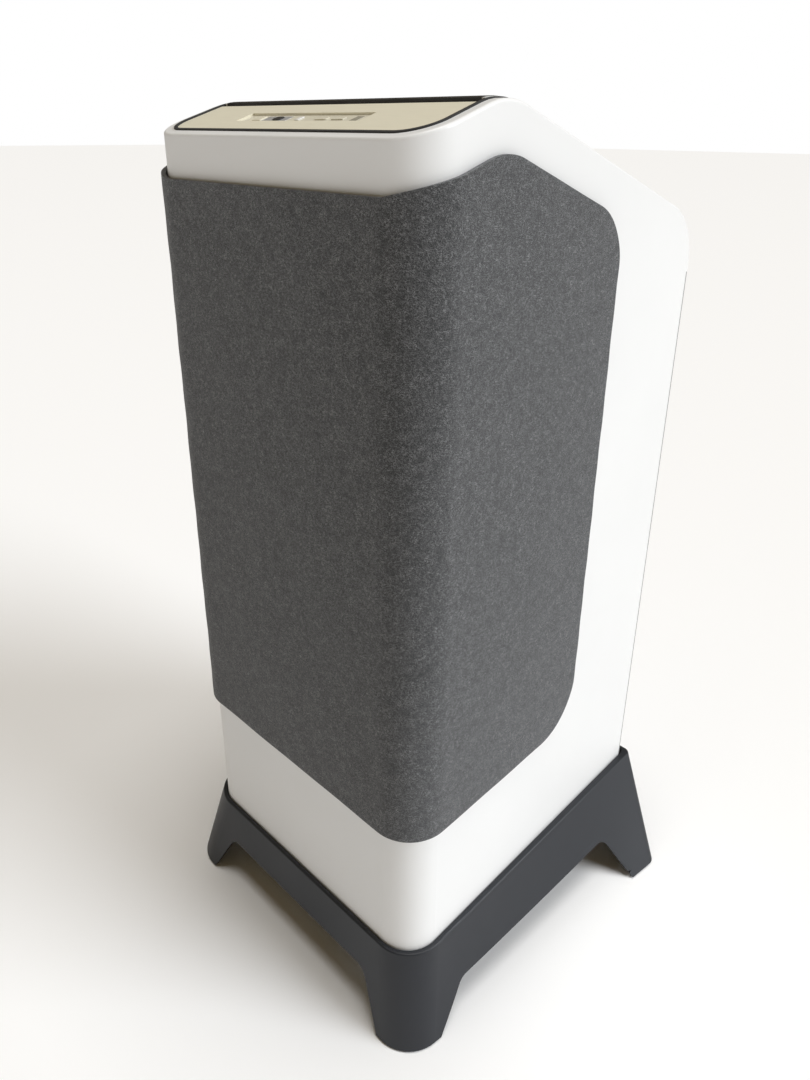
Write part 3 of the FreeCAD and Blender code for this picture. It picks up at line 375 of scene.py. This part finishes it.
class FeltPath:
    """The felt's plan: a front, two bends and two sides, measured from the middle of the front."""

    def __init__(self):
        low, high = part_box("felt_cover")
        self.side, self.front, self.rear = high.x, low.y, high.y
        self.bottom = low.z
        self.straight = self.side - FELT_OUTER_RADIUS
        self.bend = FELT_OUTER_RADIUS * math.pi / 2
        self.bend_end_y = self.front + FELT_OUTER_RADIUS
        self.length = self.straight + self.bend + self.rear - self.bend_end_y

    def point(self, s):
        """Plan position and outward normal at a distance s along the outer face."""
        side = math.copysign(1, s)
        run = abs(s)
        if run <= self.straight:
            return Vector((s, self.front, 0)), Vector((0, -1, 0))
        turn = (run - self.straight) / FELT_OUTER_RADIUS
        if run <= self.straight + self.bend:
            normal = Vector((side * math.sin(turn), -math.cos(turn), 0))
            centre = Vector((side * self.straight, self.bend_end_y, 0))
            return centre + normal * FELT_OUTER_RADIUS, normal
        y = self.bend_end_y + run - self.straight - self.bend
        return Vector((side * self.side, y, 0)), Vector((side, 0, 0))

    def top(self, s):
        """Height of the cut edge: level in front, then rising from a kink just past the bend's start."""
        run = abs(s)
        kink = self.straight + KINK_PAST_BEND
        bend_end = self.straight + self.bend
        side_start = FELT_FRONT_TOP + FELT_SLOPE * FELT_OUTER_RADIUS
        if run <= kink:
            return FELT_FRONT_TOP
        if run <= bend_end:
            return FELT_FRONT_TOP + (side_start - FELT_FRONT_TOP) * (run - kink) / (bend_end - kink)
        y = self.bend_end_y + run - bend_end
        corners = [(self.bend_end_y, side_start, 0), (*FELT_PEAK, FELT_PEAK_RADIUS),
                   (self.rear, FELT_REAR_TOP, FELT_CORNER_RADIUS), (self.rear + 0.0001, 0.5, 0)]
        return rounded_height(y, corners)

    def foot(self, s):
        """Height of the lower edge, rounded at the two rear ends."""
        left = self.length - abs(s)
        inward = max(0.0, FELT_CORNER_RADIUS - left)
        return self.bottom + FELT_CORNER_RADIUS - math.sqrt(FELT_CORNER_RADIUS ** 2 - inward ** 2)


def felt_columns(path):
    """Distances along the path, closer together at the rounded ends."""
    near_end = FELT_CORNER_RADIUS
    steps = 26
    ends = [path.length - near_end * (1 - math.cos(math.pi / 2 * i / steps)) for i in range(steps + 1)]
    middle_half = ends[-1]
    count = round(2 * middle_half / COLUMN_STEP)
    middle = [-middle_half + 2 * middle_half * i / count for i in range(1, count)]
    kinks = [side * (path.straight + KINK_PAST_BEND) for side in (-1, 1)]
    return sorted([-s for s in ends] + middle + kinks + ends)


def build_felt():
    """The felt board as one bent sheet with real thickness and softly cut edges."""
    path = FeltPath()
    columns = felt_columns(path)
    build = bmesh.new()
    grid = []
    for s in columns:
        low, high = path.foot(s), path.top(s)
        place, normal = path.point(s)
        column = []
        for row in range(ROWS + 1):
            share = row / ROWS
            z = low + (high - low) * share
            wander = 0.00022 * (math.sin(s * 47 + z * 31) + math.sin(z * 83 - s * 29)) - 0.00044
            column.append(build.verts.new(place + normal * wander + Vector((0, 0, z))))
        grid.append(column)
    for left, right in zip(grid, grid[1:]):
        for row in range(ROWS):
            build.faces.new((left[row], right[row], right[row + 1], left[row + 1]))
    mesh = bpy.data.meshes.new("felt_wrap")
    build.to_mesh(mesh)
    build.free()
    mesh.polygons.foreach_set("use_smooth", [True] * len(mesh.polygons))
    mesh.materials.append(LOOKS["felt"])
    wrap = bpy.data.objects.new("felt_wrap", mesh)
    bpy.context.collection.objects.link(wrap)
    board = wrap.modifiers.new("board", "SOLIDIFY")
    board.thickness = FELT_THICKNESS
    board.offset = -1
    soften = wrap.modifiers.new("soften", "BEVEL")
    soften.width = 0.0009
    soften.segments = 3
    soften.limit_method = "ANGLE"
    soften.angle_limit = math.radians(50)
    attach(wrap, "cabinet")
    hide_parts("felt_cover")
    felt_area(path, columns)


def felt_area(path, columns):
    """Flat area of the cut, from its height along its length."""
    area = 0.0
    for a, b in zip(columns, columns[1:]):
        heights = [path.top(s) - path.foot(s) for s in (a, b)]
        area += (b - a) * sum(heights) / 2
    return area


# ---- finishing touches -------------------------------------------------------------------
SLOPE = math.atan(FELT_SLOPE)
EDGE_WIDTHS = {"top_panel": 0.0005, "outlet_end_caps": 0.0006, "rear_door": 0.0005, "mains_inlet": 0.0005,
               "switch_frame": 0.0004, "base_stand": 0.0008}
KEY_HEIGHT = 0.008
MARK_FROM_EDGE = 0.0004
MARK_DEPTH = 0.0001


def soften_edges(node, width, segments=3):
    """Small bevel on a CAD node's sharp edges."""
    bevel = frame["nodes"][node].modifiers.new("edge", "BEVEL")
    bevel.width = width
    bevel.segments = segments
    bevel.limit_method = "ANGLE"
    bevel.angle_limit = math.radians(40)


def key_mark(key, bars):
    """Raised printed bars on a key's face, each given as (width, height)."""
    low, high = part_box(key)
    face = max((v.co for v in frame["nodes"][key].data.vertices), key=lambda co: co.z)
    centre_x = (low.x + high.x) / 2
    build = bmesh.new()
    for width, height in bars:
        bmesh.ops.create_cube(build, size=1.0, matrix=Matrix.Diagonal((width, height, 2 * MARK_DEPTH, 1)))
    bmesh.ops.bevel(build, geom=build.edges[:], offset=0.00008, segments=2, affect="EDGES")
    mesh = bpy.data.meshes.new(key + "_mark")
    build.to_mesh(mesh)
    build.free()
    mesh.materials.append(LOOKS["cream_plastic"])
    mark = bpy.data.objects.new(key + "_mark", mesh)
    bpy.context.collection.objects.link(mark)
    tilt = Matrix.Rotation(SLOPE, 4, "X")
    half_key = KEY_HEIGHT / 2 - MARK_FROM_EDGE
    up_slope = Vector((0, math.cos(SLOPE), math.sin(SLOPE)))
    middle = Vector((centre_x, face.y, face.z)) - up_slope * half_key
    mark.matrix_world = Matrix.Translation(middle) @ tilt
    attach(mark, key)


add_camera()
add_studio()
dress_frame()
build_felt()
for node, width in EDGE_WIDTHS.items():
    soften_edges(node, width)
for node in ("intake_grille", "outlet_grille"):
    soften_edges(node, 0.0004, 2)
key_mark("speed_down_key", [(0.009, 0.0014)])
key_mark("speed_up_key", [(0.009, 0.0014), (0.0014, 0.005)])
